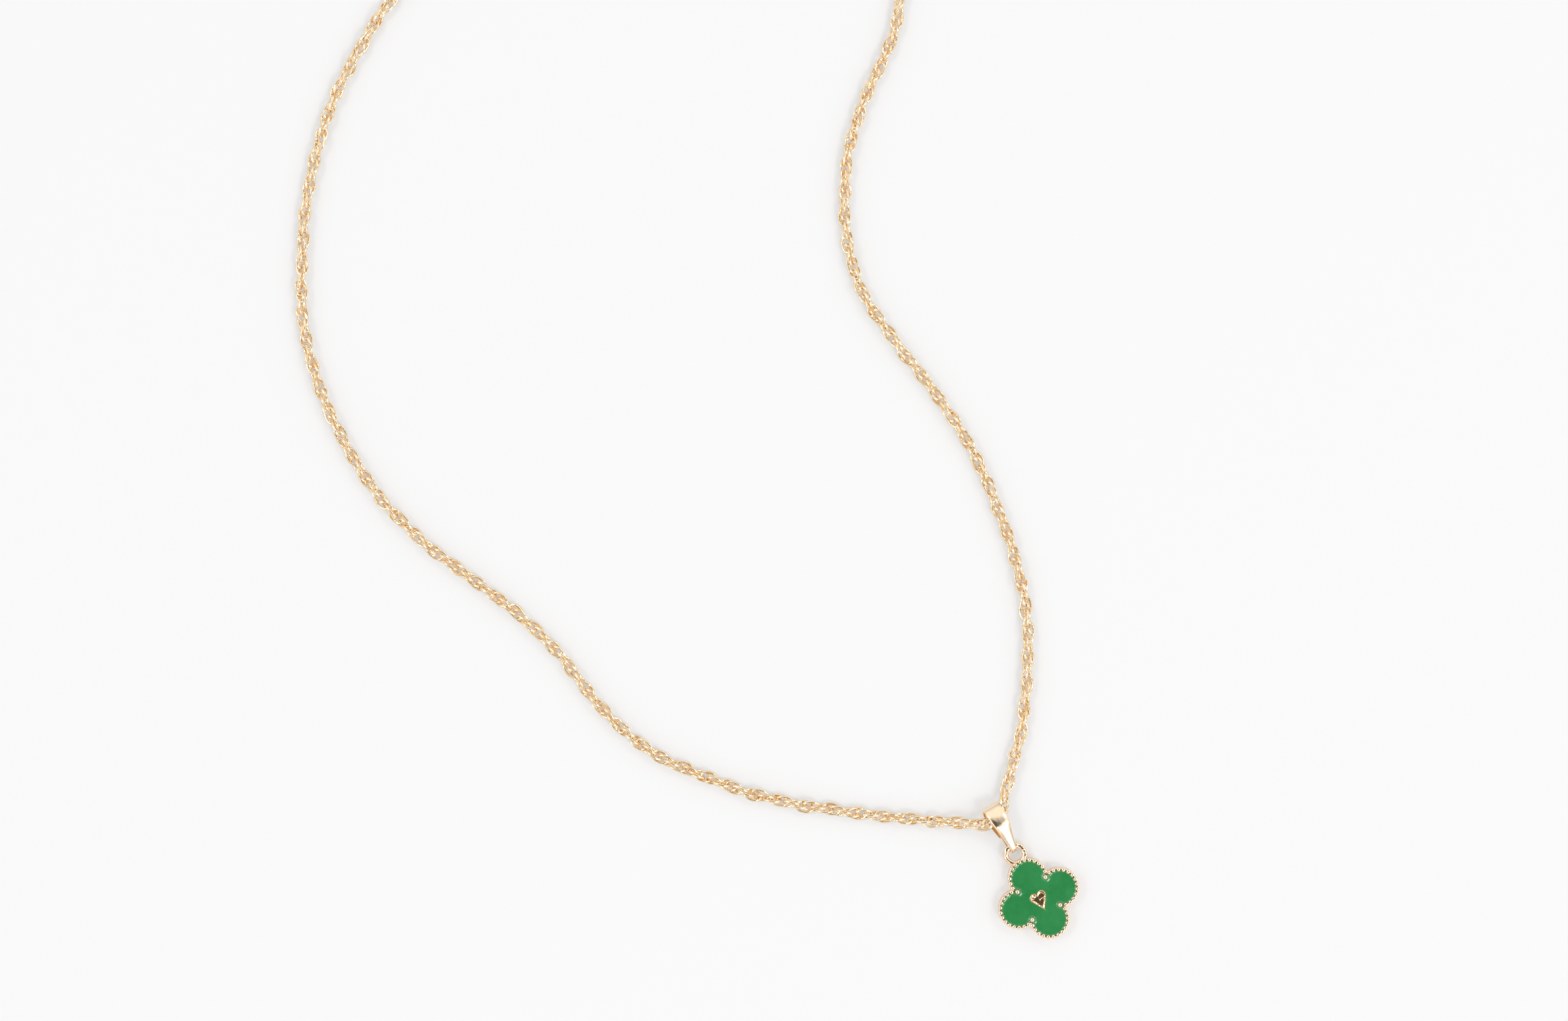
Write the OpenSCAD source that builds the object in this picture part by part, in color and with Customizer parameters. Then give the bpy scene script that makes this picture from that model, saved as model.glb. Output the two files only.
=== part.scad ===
// Necklace with a four leaf clover pendant, lying face up on a flat surface.
// Millimetres. The origin is the centre of the clover's back, +Z points out of its face,
// and the surface that it lies on is the plane z = 0.

/* [Clover] */
// Distance from the clover's centre to the centre of each leaf
leaf_offset = 3.75; // [3.5:0.05:4]
// Radius of a leaf, out to the outside of its rim
leaf_r = 3.25; // [3.1:0.05:3.5]
// Thickness of the metal back under the enamel
back_t = 0.8; // [0.6:0.05:1.2]
// Height of the rim above the back face
rim_h = 1.85; // [1.6:0.05:2.4]
// Width of the rim's wall
rim_w = 0.42; // [0.36:0.02:0.5]
// Radius of the rounded outer edge at the front
front_round = 0.3; // [0.1:0.05:0.4]
// Radius of the rounded outer edge at the back
back_round = 0.15; // [0.05:0.05:0.3]
// Angle that the pendant lies turned to the left
pendant_turn = 28; // [24:1:32]

/* [Beaded edge] */
// Diameter of each bead on the rim
bead_d = 0.58; // [0.4:0.02:0.64]
// Distance from bead to bead along the rim
bead_pitch = 0.82; // [0.7:0.02:1]
// Distance of the bead centres in from the rim's outside
bead_inset = 0.3; // [0.24:0.02:0.36]
// Diameter of the ball in each corner between two leaves
corner_ball_d = 0.76; // [0.5:0.02:1]
// Least gap between the last beads of two leaves
bead_gap = 0.12; // [0.05:0.01:0.3]

/* [Heart] */
// Width of the raised heart
heart_w = 2.8; // [2.2:0.1:3.2]
// Height of the raised heart
heart_h = 3.2; // [2.6:0.1:3.6]
// Radius of the heart's two lobes
lobe_r = 0.74; // [0.6:0.02:0.9]
// Distance from the heart's tip down to the clover's centre
heart_drop = 2.1; // [1.6:0.1:2.4]
// Width of the heart's raised edge
heart_edge = 0.16; // [0.1:0.02:0.3]
// Depth of the hollow in the heart's face
heart_hollow = 0.12; // [0.05:0.01:0.3]

/* [Enamel] */
// Depth of the enamel's surface below the top of the rim
enamel_drop = 0.12; // [0.05:0.01:0.3]
// Gap all round the enamel
enamel_gap = 0.02; // [0.01:0.01:0.05]

/* [Top ring] */
// Outer diameter of the ring cast onto the top leaf
ring_d = 4; // [3.6:0.1:4.6]
// Thickness of that ring's wire
ring_wire = 0.94; // [0.8:0.02:1]
// Height of the ring's centre above the back face
ring_h = 1.15; // [1.1:0.05:1.3]
// Depth that the ring is sunk into the leaf
ring_sink = 0.9; // [0.6:0.05:1]

/* [Bail] */
// Distance between the centres of the bail's two rounded ends
bail_reach = 5.95; // [5:0.05:7]
// Width of the strip at its wide end
bail_w = 3; // [2.4:0.1:3.6]
// Width of the strip at its narrow end
bail_tip_w = 0.86; // [0.7:0.02:1.1]
// Outer depth of the wide end
bail_depth = 3.5; // [3.3:0.1:4]
// Outer depth of the narrow end
bail_tip_depth = 2.1; // [2:0.05:2.2]
// Thickness of the strip
strip_t = 0.38; // [0.3:0.02:0.44]
// Distance from the narrow end to the round shoulder of the back leaf
shoulder_reach = 2.5; // [2:0.1:3.2]
// Slack of the bail's narrow end below the ring's wire
bail_slack = 0.1; // [0:0.02:0.12]
// Angle that the bail leans over to its right
bail_lean = 14; // [6:1:16]
// Angle that the bail rises towards its wide end
bail_rise = 3; // [2:0.5:6]
// Angle that the bail is swung to the left
bail_swing = 2.5; // [0:0.5:5]

/* [Chain] */
// Outer diameter of the chain
chain_d = 1.9; // [1.6:0.1:2]

/* [Clasp] */
// Outer diameter of the round clasp
clasp_d = 6.2; // [5.5:0.1:8]
// Thickness of the clasp's round tube
clasp_tube_d = 1.4; // [1.2:0.1:1.5]
// Outer diameter of the clasp's eye
eye_d = 2.6; // [2.2:0.1:3]
// Thickness of the eye's wire
eye_wire = 0.7; // [0.5:0.05:0.8]
// Depth that the eye is sunk into the clasp's tube
eye_sink = 0.3; // [0.2:0.05:0.4]
// Outer diameter of the end ring that the clasp closes on
end_ring_d = 4; // [3.8:0.1:5]
// Thickness of the end ring's wire
end_ring_wire = 0.8; // [0.6:0.05:0.9]
// Angle that the clasp slopes down from the end ring to the chain
clasp_slope = 8; // [7:0.5:11]

/* [Gaps] */
// Gap between the end ring and the clasp's tube
clasp_gap = 0.06; // [0.03:0.01:0.1]

/* [Hidden] */
$fn = 64;

// Colours
rose_gold = [0.90, 0.72, 0.52];
pale_gold = [0.93, 0.80, 0.56];
leaf_green = [0.13, 0.53, 0.27];

// Route of the chain's middle line, seen from above: x, y, and how far it is lifted off the
// surface. It starts at the clasp, comes down the right side, passes through the bail, and
// goes round the left side back to the clasp.
route = [
    [-86, 163.5, 0], [-74.5, 167, 0], [-62.5, 168.5, 0], [-50.5, 168, 0], [-39, 165.5, 0],
    [-29, 160.5, 0], [-23, 152.5, 0], [-23.5, 142, 0], [-28, 131.5, 0], [-31.25, 121, 0],
    [-31.5, 110, 0], [-29, 99.5, 0], [-23, 90.5, 0], [-16.5, 82, 0], [-10.5, 72.5, 0],
    [-6, 62, 0], [-2.75, 51.5, 0], [-1.75, 40.5, 0], [-2.5, 29.5, 0], [-4, 22.5, 0.1],
    [-5.5, 17.5, 0.4], [-5.75, 14.75, 0.85], [-7, 13.25, 1.15], [-8.75, 12.25, 1.4],
    [-12, 12.25, 0.9], [-16, 12.5, 0.2], [-22, 13, 0], [-33, 14.25, 0], [-44, 16.25, 0],
    [-54, 19.5, 0], [-63.5, 24, 0], [-71.5, 31, 0], [-78, 39.5, 0], [-86, 47, 0],
    [-94.5, 53.5, 0], [-102.5, 60, 0],
    [-109.5, 68, 0], [-115.5, 78.5, 0], [-119.5, 90, 0], [-120.5, 102.5, 0],
    [-119.5, 115, 0], [-116.5, 127, 0], [-111.5, 138, 0], [-104, 149, 0], [-94.75, 158, 0]
];
sides = 8;

// Clover. Each bead and ball is a little wider than the post that carries it.
dome_over = 0.04;
post_d = bead_d - dome_over;
rim_in_r = leaf_r - rim_w;
bead_r = leaf_r - bead_inset;
corner = leaf_offset / sqrt(2);
corner_ball_at = (corner + sqrt(rim_in_r * rim_in_r - corner * corner)) / sqrt(2);
last_bead = 45 + asin((corner - (bead_d + bead_gap) / 2) / bead_r);
bead_count = 1 + floor(2 * last_bead * PI / 180 * bead_r / bead_pitch);
core_w = 2 * corner;

// Heart: the lobe centres, and where the straight sides touch the lobes
lobe_x = heart_w / 2 - lobe_r;
lobe_y = heart_h - lobe_r;
lobe_far = norm([lobe_x, lobe_y]);
side_turn = atan2(lobe_y, lobe_x) - asin(lobe_r / lobe_far);

// Ring and bail
ring_r = (ring_d - ring_wire) / 2;
ring_y = leaf_offset + leaf_r + ring_d / 2 - ring_sink;
fold_r = bail_depth / 2;
tip_r = bail_tip_depth / 2;
fold_z = fold_r - tip_r;
fold_far = norm([bail_reach, fold_z]);
fold_turn = atan2(fold_z, bail_reach);
flank_turn = acos((tip_r - fold_r) / fold_far);

// Chain: the two strands meet at the route point nearest to the bail's fold
chain_h = chain_d / 2 * cos(180 / sides);
fold_far_y = ring_y + ring_r - bail_slack + bail_reach;
fold_at = fold_far_y * [-sin(pendant_turn), cos(pendant_turn)];
to_fold = [for (at = route) norm([at[0], at[1]] - fold_at)];
bail_stop = [for (i = [0:len(route) - 1]) if (to_fold[i] == min(to_fold)) i][0];

// Clasp: it stands on a line from the last route point to the first
clasp_r = (clasp_d - clasp_tube_d) / 2;
eye_r = (eye_d - eye_wire) / 2;
eye_x = clasp_d / 2 + eye_d / 2 - eye_sink;
end_ring_r = (end_ring_d - end_ring_wire) / 2;
clasp_shift = (end_ring_d / 2 - end_ring_wire - clasp_tube_d / 2 - clasp_gap) / sqrt(2);
clasp_high = end_ring_d / 2 - clasp_shift;
clasp_back = clasp_r + clasp_shift + end_ring_d / 2;
clasp_ahead = (clasp_r + eye_x + eye_d / 2) * cos(clasp_slope) - clasp_r;

function on_leaf(r, a) = [r * sin(a), leaf_offset + r * cos(a)];

module pendant_place() {
    rotate([0, 0, pendant_turn]) children();
}

// Outline of the four leaves at radius r
module leaves_2d(r) {
    for (i = [0:3]) rotate(90 * i) translate([0, leaf_offset]) circle(r);
    square(core_w, center = true);
}

// One leaf of the cast body, with a rounded edge at the front and the back
module leaf_body() {
    rotate_extrude() difference() {
        square([leaf_r, rim_h]);
        translate([leaf_r - front_round, rim_h - front_round]) difference() {
            square(2 * front_round);
            circle(front_round);
        }
        translate([leaf_r - back_round, back_round]) mirror([0, 1]) difference() {
            square(2 * back_round);
            circle(back_round);
        }
    }
}

// Runs its children at each bead of the rim
module at_beads() {
    for (i = [0:3], k = [0:bead_count - 1])
        rotate(90 * i)
            translate(on_leaf(bead_r, -last_bead + 2 * last_bead * k / (bead_count - 1)))
                children();
}

// Runs its children at each of the four corner balls
module at_corners() {
    for (i = [0:3]) rotate(90 * i) translate([corner_ball_at, corner_ball_at]) children();
}

// Outline of the heart, drawn in by an inset
module heart_2d(inset) {
    r = lobe_r - inset;
    tip = inset / sin(90 - side_turn);
    side = sqrt(lobe_far * lobe_far - lobe_r * lobe_r);
    touch = [side * cos(side_turn) - inset * sin(side_turn), side * sin(side_turn) + inset * cos(side_turn)];
    translate([0, -heart_drop]) {
        for (x = [-lobe_x, lobe_x]) translate([x, lobe_y]) circle(r);
        polygon([[0, tip], touch, [lobe_x, lobe_y], [-lobe_x, lobe_y], [-touch[0], touch[1]]]);
    }
}

// Space for the enamel: inside the rim, round the bead posts, corner balls and heart
module enamel_2d(gap) {
    difference() {
        leaves_2d(rim_in_r - gap);
        at_beads() circle(d = post_d + 2 * gap);
        at_corners() circle(d = corner_ball_d + 2 * gap);
        heart_2d(-gap);
    }
}

module clover_setting() {
    color(rose_gold) pendant_place() {
        difference() {
            union() {
                for (i = [0:3]) rotate(90 * i) translate([0, leaf_offset]) leaf_body();
                linear_extrude(rim_h) square(core_w, center = true);
                translate([0, ring_y, ring_h]) rotate_extrude()
                    translate([ring_r, 0]) circle(d = ring_wire);
            }
            translate([0, 0, back_t]) linear_extrude(rim_h) enamel_2d(0);
            translate([0, 0, rim_h - heart_hollow]) linear_extrude(rim_h) heart_2d(heart_edge);
        }
        translate([0, 0, rim_h]) {
            at_beads() sphere(d = bead_d);
            at_corners() sphere(d = corner_ball_d + dome_over);
        }
    }
}

module clover_enamel() {
    color(leaf_green) pendant_place()
        translate([0, 0, back_t + enamel_gap])
            linear_extrude(rim_h - enamel_drop - back_t - enamel_gap) enamel_2d(enamel_gap);
}

// Side view of the bail, drawn in by an inset: two round ends joined by straight flanks
module bail_side_2d(inset) {
    tip = tip_r - inset;
    fold = fold_r - inset;
    up = [cos(fold_turn + flank_turn), sin(fold_turn + flank_turn)];
    down = [cos(fold_turn - flank_turn), sin(fold_turn - flank_turn)];
    middle = [bail_reach, fold_z];
    circle(tip);
    translate(middle) circle(fold);
    polygon([tip * down, middle + fold * down, middle + fold * up, tip * up]);
}

// Front view of the bail: it widens evenly from the narrow end to the fold
module bail_front_2d() {
    polygon([
        [-bail_tip_w / 2, -2 * tip_r], [bail_tip_w / 2, -2 * tip_r], [bail_tip_w / 2, -tip_r / 2],
        [bail_w / 2, bail_reach], [bail_w / 2, bail_reach + 2 * fold_r],
        [-bail_w / 2, bail_reach + 2 * fold_r], [-bail_w / 2, bail_reach], [-bail_tip_w / 2, -tip_r / 2]
    ]);
}

// What is cut from the back leaf, so that it narrows to a round shoulder and a tongue
module bail_shoulder_2d() {
    shoulder_w = bail_tip_w + (bail_w - bail_tip_w) * (shoulder_reach + tip_r / 2) / (bail_reach + tip_r / 2);
    difference() {
        translate([-bail_w, 0]) square([2 * bail_w, shoulder_reach]);
        translate([0, shoulder_reach]) circle(d = shoulder_w);
        square([bail_tip_w, 2 * shoulder_reach], center = true);
    }
}

module bail() {
    color(pale_gold) pendant_place()
        translate([0, ring_y + ring_r - bail_slack, ring_h])
            rotate([bail_rise, bail_lean, bail_swing])
                difference() {
                    intersection() {
                        rotate([90, 0, 90]) translate([0, 0, -bail_w]) linear_extrude(2 * bail_w)
                            difference() {
                                bail_side_2d(0);
                                bail_side_2d(strip_t);
                            }
                        translate([0, 0, -bail_depth]) linear_extrude(3 * bail_depth) bail_front_2d();
                    }
                    translate([0, 0, -2 * tip_r]) linear_extrude(2 * tip_r) bail_shoulder_2d();
                }
}

// A point of the smooth curve through the route, at share t of the way from point i to the next
function clamp_at(list, i) = list[max(0, min(len(list) - 1, i))];
function curve_at(list, i, t) = let (
    a = clamp_at(list, i - 1), b = list[i], c = clamp_at(list, i + 1), d = clamp_at(list, i + 2)
) b + t / 2 * (c - a) + t * t / 2 * (2 * a - 5 * b + 4 * c - d) + t * t * t / 2 * (3 * b - 3 * c + d - a);

// Points of the chain's middle line from route point first to route point last, one or two
// for each stretch between route points, and none below the surface
function steps_in(i) = norm(route[i + 1] - route[i]) > 3 * chain_d ? 2 : 1;
function on_surface(at) = [at[0], at[1], max(at[2], 0)];
function middle_line(first, last) = [
    for (i = [first:last - 1], s = [0:steps_in(i) - 1]) on_surface(curve_at(route, i, s / steps_in(i))),
    route[last]
];

// Corners of the chain's tube, ring by ring. A ring stands square to the line through its
// neighbours on the whole route, so two tubes that meet at a route point share a face there.
function ring_corners(at, ahead) = let (
    side = [ahead[1], -ahead[0], 0] / norm([ahead[0], ahead[1]]),
    up = cross(side, ahead / norm(ahead))
) [
    for (k = [0:sides - 1]) let (a = (k + 0.5) * 360 / sides)
        [at[0], at[1], at[2] + chain_h] + chain_d / 2 * (cos(a) * side + sin(a) * up)
];
function ahead_at(i) = clamp_at(route, i + 1) - clamp_at(route, i - 1);
function tube_points(line, ahead_first, ahead_last) = [
    for (k = [0:len(line) - 1])
        each ring_corners(
            line[k],
            k == 0 ? ahead_first : k == len(line) - 1 ? ahead_last : line[k + 1] - line[k - 1]
        )
];
function tube_faces(rings) = concat(
    [[for (k = [0:sides - 1]) k]],
    [[for (k = [sides - 1:-1:0]) (rings - 1) * sides + k]],
    [for (r = [0:rings - 2], k = [0:sides - 1]) let (n = (k + 1) % sides)
        [r * sides + k, (r + 1) * sides + k, (r + 1) * sides + n, r * sides + n]]
);

module chain_tube(first, last) {
    line = middle_line(first, last);
    polyhedron(tube_points(line, ahead_at(first), ahead_at(last)), tube_faces(len(line)));
}

module chain_right() {
    color(pale_gold) chain_tube(0, bail_stop);
}

module chain_left() {
    color(pale_gold) chain_tube(bail_stop, len(route) - 1);
}

// Puts its children where the clasp lies, with x from the end ring to the eye
module clasp_place() {
    from = route[len(route) - 1];
    to = route[0];
    turn = atan2(to[1] - from[1], to[0] - from[0]);
    spare = norm(to - from) - clasp_back - clasp_ahead;
    translate([from[0], from[1], 0]) rotate(turn)
        translate([spare / 2 + clasp_back, 0, 0]) children();
}

module clasp() {
    color(pale_gold) clasp_place()
        translate([-clasp_r, 0, clasp_high]) rotate([0, clasp_slope, 0]) translate([clasp_r, 0, 0]) {
            rotate_extrude() translate([clasp_r, 0]) circle(d = clasp_tube_d);
            translate([eye_x, 0, 0]) rotate_extrude() translate([eye_r, 0]) circle(d = eye_wire);
        }
}

module end_ring() {
    color(pale_gold) clasp_place()
        translate([-clasp_r - clasp_shift, 0, end_ring_d / 2]) rotate([90, 0, 0])
            rotate_extrude() translate([end_ring_r, 0]) circle(d = end_ring_wire);
}

clover_setting();
clover_enamel();
bail();
chain_right();
chain_left();
clasp();
end_ring();
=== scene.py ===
"""Looks of the four leaf clover pendant on its chain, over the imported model's frame.

Sizes are in millimetres, in the row frame, until put_together() writes them in metres.
"""

import math

import bmesh
import bpy
import numpy as np
from mathutils import Matrix


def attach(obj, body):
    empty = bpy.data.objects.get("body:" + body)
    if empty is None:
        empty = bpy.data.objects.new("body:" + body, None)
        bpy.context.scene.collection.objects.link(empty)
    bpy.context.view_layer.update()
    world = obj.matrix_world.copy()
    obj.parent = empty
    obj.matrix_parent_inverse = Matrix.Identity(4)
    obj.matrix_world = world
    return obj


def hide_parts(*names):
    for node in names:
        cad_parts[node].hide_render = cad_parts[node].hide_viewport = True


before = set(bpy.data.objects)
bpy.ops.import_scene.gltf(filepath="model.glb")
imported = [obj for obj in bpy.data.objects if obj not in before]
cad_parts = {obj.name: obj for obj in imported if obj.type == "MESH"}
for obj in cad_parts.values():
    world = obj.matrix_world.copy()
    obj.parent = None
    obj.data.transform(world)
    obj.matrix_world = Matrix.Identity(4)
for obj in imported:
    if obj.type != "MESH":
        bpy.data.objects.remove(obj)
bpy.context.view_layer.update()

# Clover: leaves, back and rim
PENDANT_TURN = 28
LEAF_OFFSET = 3.75
LEAF_R = 3.25
LEAF_STEPS = 72
BACK_T = 0.8
BACK_ROUND = 0.15
RIM_H = 1.85
RIM_W = 0.42
WALL_DRAFT = 0.07
WALL_MID = 1.4
RIDGE_OUT = 0.16
RIDGE_IN = 0.1
RIDGE_LOW = 0.13

# Beads and corner balls. Both are flattened, and the beads stretched along and across the rim.
BEAD_D = 0.54
BEAD_PITCH = 0.82
BEAD_INSET = 0.26
BEAD_GAP = 0.12
BEAD_ALONG = 1.1
BEAD_ACROSS = 1.3
BEAD_RISE = 0.65
CORNER_BALL_D = 0.76
BALL_RISE = 0.75

# Heart. The lip's pairs are a share of the outline and a depth below the rim's full height.
HEART_W = 2.8
HEART_H = 3.2
LOBE_R = 0.74
HEART_DROP = 2.1
HEART_FOOT = 0.9
HEART_LIP = ((1, 0.12), (0.985, 0.08), (0.96, 0.045), (0.93, 0.02), (0.905, 0.005))
HEART_FACE = 0.88
HEART_ROWS = 34
HEART_STEPS = 240
HEART_HOLLOW = 0.1
CREASE_DEPTH, CREASE_WIDE = 0.035, 0.16
CREASE_END, CREASE_FADE = -0.5, 0.15
DENT_DEPTH = 0.0065
DENT_WAVES = ((5.3, 3.1, 0.4), (3.7, -6.1, 2.0), (9.1, 7.3, 0.0))
SEAM_X, SEAM_Y = 1.08, -0.34
SEAM_TILT, SEAM_BOW = 0.04, 0.14
SEAM_HIGH, SEAM_WIDE = 0.035, 0.04

# Enamel. Each creep has the rise at the metal and the width of its slope.
ENAMEL_DROP = 0.12
ENAMEL_SAG = 0.05
ENAMEL_STEPS = 720
ENAMEL_ROWS = 36
FINE_STEPS = 600
CREEP_RIM = (0.05, 0.12)
CREEP_BEAD = (0.12, 0.15)
CREEP_MOST = 0.15
CREEP_BALL = (0.22, 0.3)
CREEP_HEART = (0.07, 0.22)
INTO_HEART = 0.99
INTO_RIM = 0.03
CELL_GAP = 0.02
GREEN_DEEP = (0.012, 0.178, 0.040)
GREEN_LIGHT = (0.029, 0.243, 0.069)
GREEN_SPECK = (0.10, 0.42, 0.17)
SPECKS_FROM, SPECKS_GAIN = 0.74, 6

# Top ring and bail
RING_R = 1.53
RING_WIRE = 0.94
RING_Y = 8.1
RING_H = 1.15
BAIL_REACH = 5.95
BAIL_W = 3.0
BAIL_TIP_W = 0.98
FOLD_R = 1.75
TIP_R = 1.05
STRIP_T = 0.38
STRIP_EDGE = 0.07
HALF_AT_RING = 0.575
HALF_PER_MM = 0.188
HALF_SOFT = 0.05
SHOULDER_REACH = 2.45
BACK_NARROWER = 0.14
BACK_GAIN = 3
BAIL_SLACK = 0.1
BAIL_TURNS = (3, 14, 2.5)
BEVEL = 0.2
CROWN = 0.05

# Bail from the side: where its flanks and its fold begin, and how long the curves' handles are
FRONT_LEAVES, BACK_LEAVES = 105, -97
FRONT_FOLD, BACK_FOLD = 1.35, 0.45
FRONT_HANDLES = (2.6, 1.4)
BACK_HANDLES = (2.0, 2.0)
FLANK_STEPS = (50, 44)
FOLD_STEPS = (30, 22)
TIP_STEPS = 30

# Chain: one link, then how the links lie in a row
CHAIN_H = 0.878
LINK_L = 3.2
LINK_W = 2.15
LINK_WIRE = 0.42
LINK_SEGMENTS = 16
LINK_SIDES = 6
LINK_SQUARE = 2.3
LINK_PITCH = 1.09
LINK_TWIST = -47
LINK_LEAN = 4

# How far the links stray from an even row. Some that lie flat are loose and pushed out further.
STRAY_SEED = 7
STRAY_ALONG = 0.04
TWIST_STRAY, TWIST_WANDER, WANDER_LINKS = 2, 2, 9
LEAN_STRAY, TIP_STRAY = 3, 3
FLAT_ENOUGH, LOOSE_FROM = 0.8, 0.6
LOOSE_OUT = (0.08, 0.2)
TIGHT_OUT = (0, 0.06)
AHEAD_SPAN = 0.6
FLOOR_MARGIN = 1.03

# Clasp and end ring
CLASP_R = 2.4
CLASP_TUBE_D = 1.4
EYE_R = 0.95
EYE_WIRE = 0.7
EYE_X = 4.1
END_RING_R = 1.6
END_RING_WIRE = 0.8
CLASP_SLOPE = 8
CLASP_GAP = 0.06
EYE_PLAY, EYE_LIFT = 0.03, 0.3
END_REACH = 0.27

# The chain's middle line, as in the source: x, y and lift
ROUTE = np.array([
    [-86, 163.5, 0], [-74.5, 167, 0], [-62.5, 168.5, 0], [-50.5, 168, 0], [-39, 165.5, 0],
    [-29, 160.5, 0], [-23, 152.5, 0], [-23.5, 142, 0], [-28, 131.5, 0], [-31.25, 121, 0],
    [-31.5, 110, 0], [-29, 99.5, 0], [-23, 90.5, 0], [-16.5, 82, 0], [-10.5, 72.5, 0],
    [-6, 62, 0], [-2.75, 51.5, 0], [-1.75, 40.5, 0], [-2.5, 29.5, 0], [-4, 22.5, 0.1],
    [-5.5, 17.5, 0.4], [-5.75, 14.75, 0.85], [-7, 13.25, 1.15], [-8.75, 12.25, 1.4],
    [-12, 12.25, 0.9], [-16, 12.5, 0.2], [-22, 13, 0], [-33, 14.25, 0], [-44, 16.25, 0],
    [-54, 19.5, 0], [-63.5, 24, 0], [-71.5, 31, 0], [-78, 39.5, 0], [-86, 47, 0],
    [-94.5, 53.5, 0], [-102.5, 60, 0], [-109.5, 68, 0], [-115.5, 78.5, 0], [-119.5, 90, 0],
    [-120.5, 102.5, 0], [-119.5, 115, 0], [-116.5, 127, 0], [-111.5, 138, 0], [-104, 149, 0],
    [-94.75, 158, 0],
])
BAIL_STOP = 22
ROUTE_STEPS = 24

# Camera, table, room and lights, in metres, degrees and watts
CAMERA_AT = (-0.0416, 0.0633, 0.5706)
TABLE_HALF = 2
TABLE_Z = -2e-5
TABLE_GLOW = 0.34
ROOM_LOW, ROOM_HIGH = 0.75, 1.12
ROOM_FROM, ROOM_TO = 0.1, 0.6
PATCH_LEAN, PATCH_TURN = 11, -57
PATCH_IN, PATCH_OUT = 20, 38
PATCH_LIGHT = 0.08
LIGHTS_AIM = (-0.03, 0.05, 0)
LIGHTS_AWAY = 2.5

# Each light's name, azimuth, elevation, width, height and watts
LIGHTS = (
    ("soft_box_right", -20, 40, 1.5, 1.5, 5),
    ("soft_box_left", -165, 30, 1.4, 1.0, 2),
    ("lamp_right", -45, 54, 0.7, 0.7, 16),
    ("lamp_far", 30, 48, 0.3, 0.3, 4),
    ("lamp_left", 170, 52, 0.45, 0.45, 8),
)

# Points of a piece closer than this are one, in metres
MERGE = 2e-7

# Camera: straight above, framing 256.3 by 166.8 mm
camera_data = bpy.data.cameras.new("camera")
camera_data.lens = 80
camera_data.sensor_width = 36
camera_data.clip_start = 0.01
camera = bpy.data.objects.new("camera", camera_data)
camera.location = CAMERA_AT
bpy.context.scene.collection.objects.link(camera)
bpy.context.scene.camera = camera


# Meshes
def grid_faces(rows, columns, wrap_rows=False, wrap_columns=False):
    """Corner numbers of the faces of a grid of points that are numbered row by row.

    Face (r, c) joins the points (r, c), (r, c + 1), (r + 1, c + 1) and (r + 1, c).
    """
    r = np.arange(rows if wrap_rows else rows - 1)[:, None]
    c = np.arange(columns if wrap_columns else columns - 1)[None, :]
    r_next, c_next = (r + 1) % rows, (c + 1) % columns
    row, row_next = r * columns, r_next * columns
    corners = [row + c, row + c_next, row_next + c_next, row_next + c]
    return np.stack(np.broadcast_arrays(*corners), axis=-1).reshape(-1, 4)


def shell(points, wrap_rows=False, wrap_columns=False):
    """A grid of points, rows by columns by 3, as a flat list of points and its faces."""
    rows, columns = points.shape[:2]
    return points.reshape(-1, 3), grid_faces(rows, columns, wrap_rows, wrap_columns)


def repeated(one, centres, frames=None):
    """Copies of one shell, each turned by its frame, whose rows are its x, y and z, then moved."""
    points, faces = one
    if frames is None:
        many = centres[:, None, :] + points[None, :, :]
    else:
        many = centres[:, None, :] + np.einsum("pk,nkj->npj", points, frames)
    shifts = np.arange(len(centres))[:, None, None] * len(points)
    return many.reshape(-1, 3), (faces[None] + shifts).reshape(-1, 4)


def placed(one, place):
    """A shell whose points are put in their place."""
    points, faces = one
    return place(points), faces


def put_together(name, shells, finish, slot, *nodes):
    """One object from shells in millimetres, written in metres. It rides on the root body."""
    starts = np.cumsum([0] + [len(points) for points, _ in shells[:-1]])
    points = np.concatenate([points for points, _ in shells]) * 0.001
    faces = np.concatenate([faces + start for (_, faces), start in zip(shells, starts)])
    mesh = bpy.data.meshes.new(name)
    mesh.vertices.add(len(points))
    mesh.vertices.foreach_set("co", points.astype(np.float32).ravel())
    mesh.loops.add(faces.size)
    mesh.loops.foreach_set("vertex_index", faces.astype(np.int32).ravel())
    mesh.polygons.add(len(faces))
    mesh.polygons.foreach_set("loop_start", np.arange(0, faces.size, 4, dtype=np.int32))
    mesh.update(calc_edges=True)
    work = bmesh.new()
    work.from_mesh(mesh)
    bmesh.ops.remove_doubles(work, verts=work.verts, dist=MERGE)
    bmesh.ops.recalc_face_normals(work, faces=work.faces)
    work.to_mesh(mesh)
    work.free()
    mesh.polygons.foreach_set("use_smooth", np.ones(len(mesh.polygons), dtype=bool))
    mesh.materials.append(finish)
    piece = bpy.data.objects.new(name, mesh)
    bpy.context.scene.collection.objects.link(piece)
    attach(piece, "root")
    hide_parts(*nodes)
    return piece


# Places
def turned(points, axis, degrees):
    """Points turned about the x, y or z axis (0, 1 or 2), the other two axes moving as a plane."""
    a, b = [(1, 2), (2, 0), (0, 1)][axis]
    c, s = math.cos(math.radians(degrees)), math.sin(math.radians(degrees))
    out = np.array(points, float)
    out[..., a] = c * points[..., a] - s * points[..., b]
    out[..., b] = s * points[..., a] + c * points[..., b]
    return out


def on_pendant(points):
    """From the upright pendant to where it lies."""
    return turned(points, 2, PENDANT_TURN)


def on_bail(points):
    """From the bail's own frame, with y towards its fold, to where it lies."""
    for axis, degrees in enumerate(BAIL_TURNS):
        points = turned(points, axis, degrees)
    return on_pendant(points + [0, RING_Y + RING_R - BAIL_SLACK, RING_H])


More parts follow.
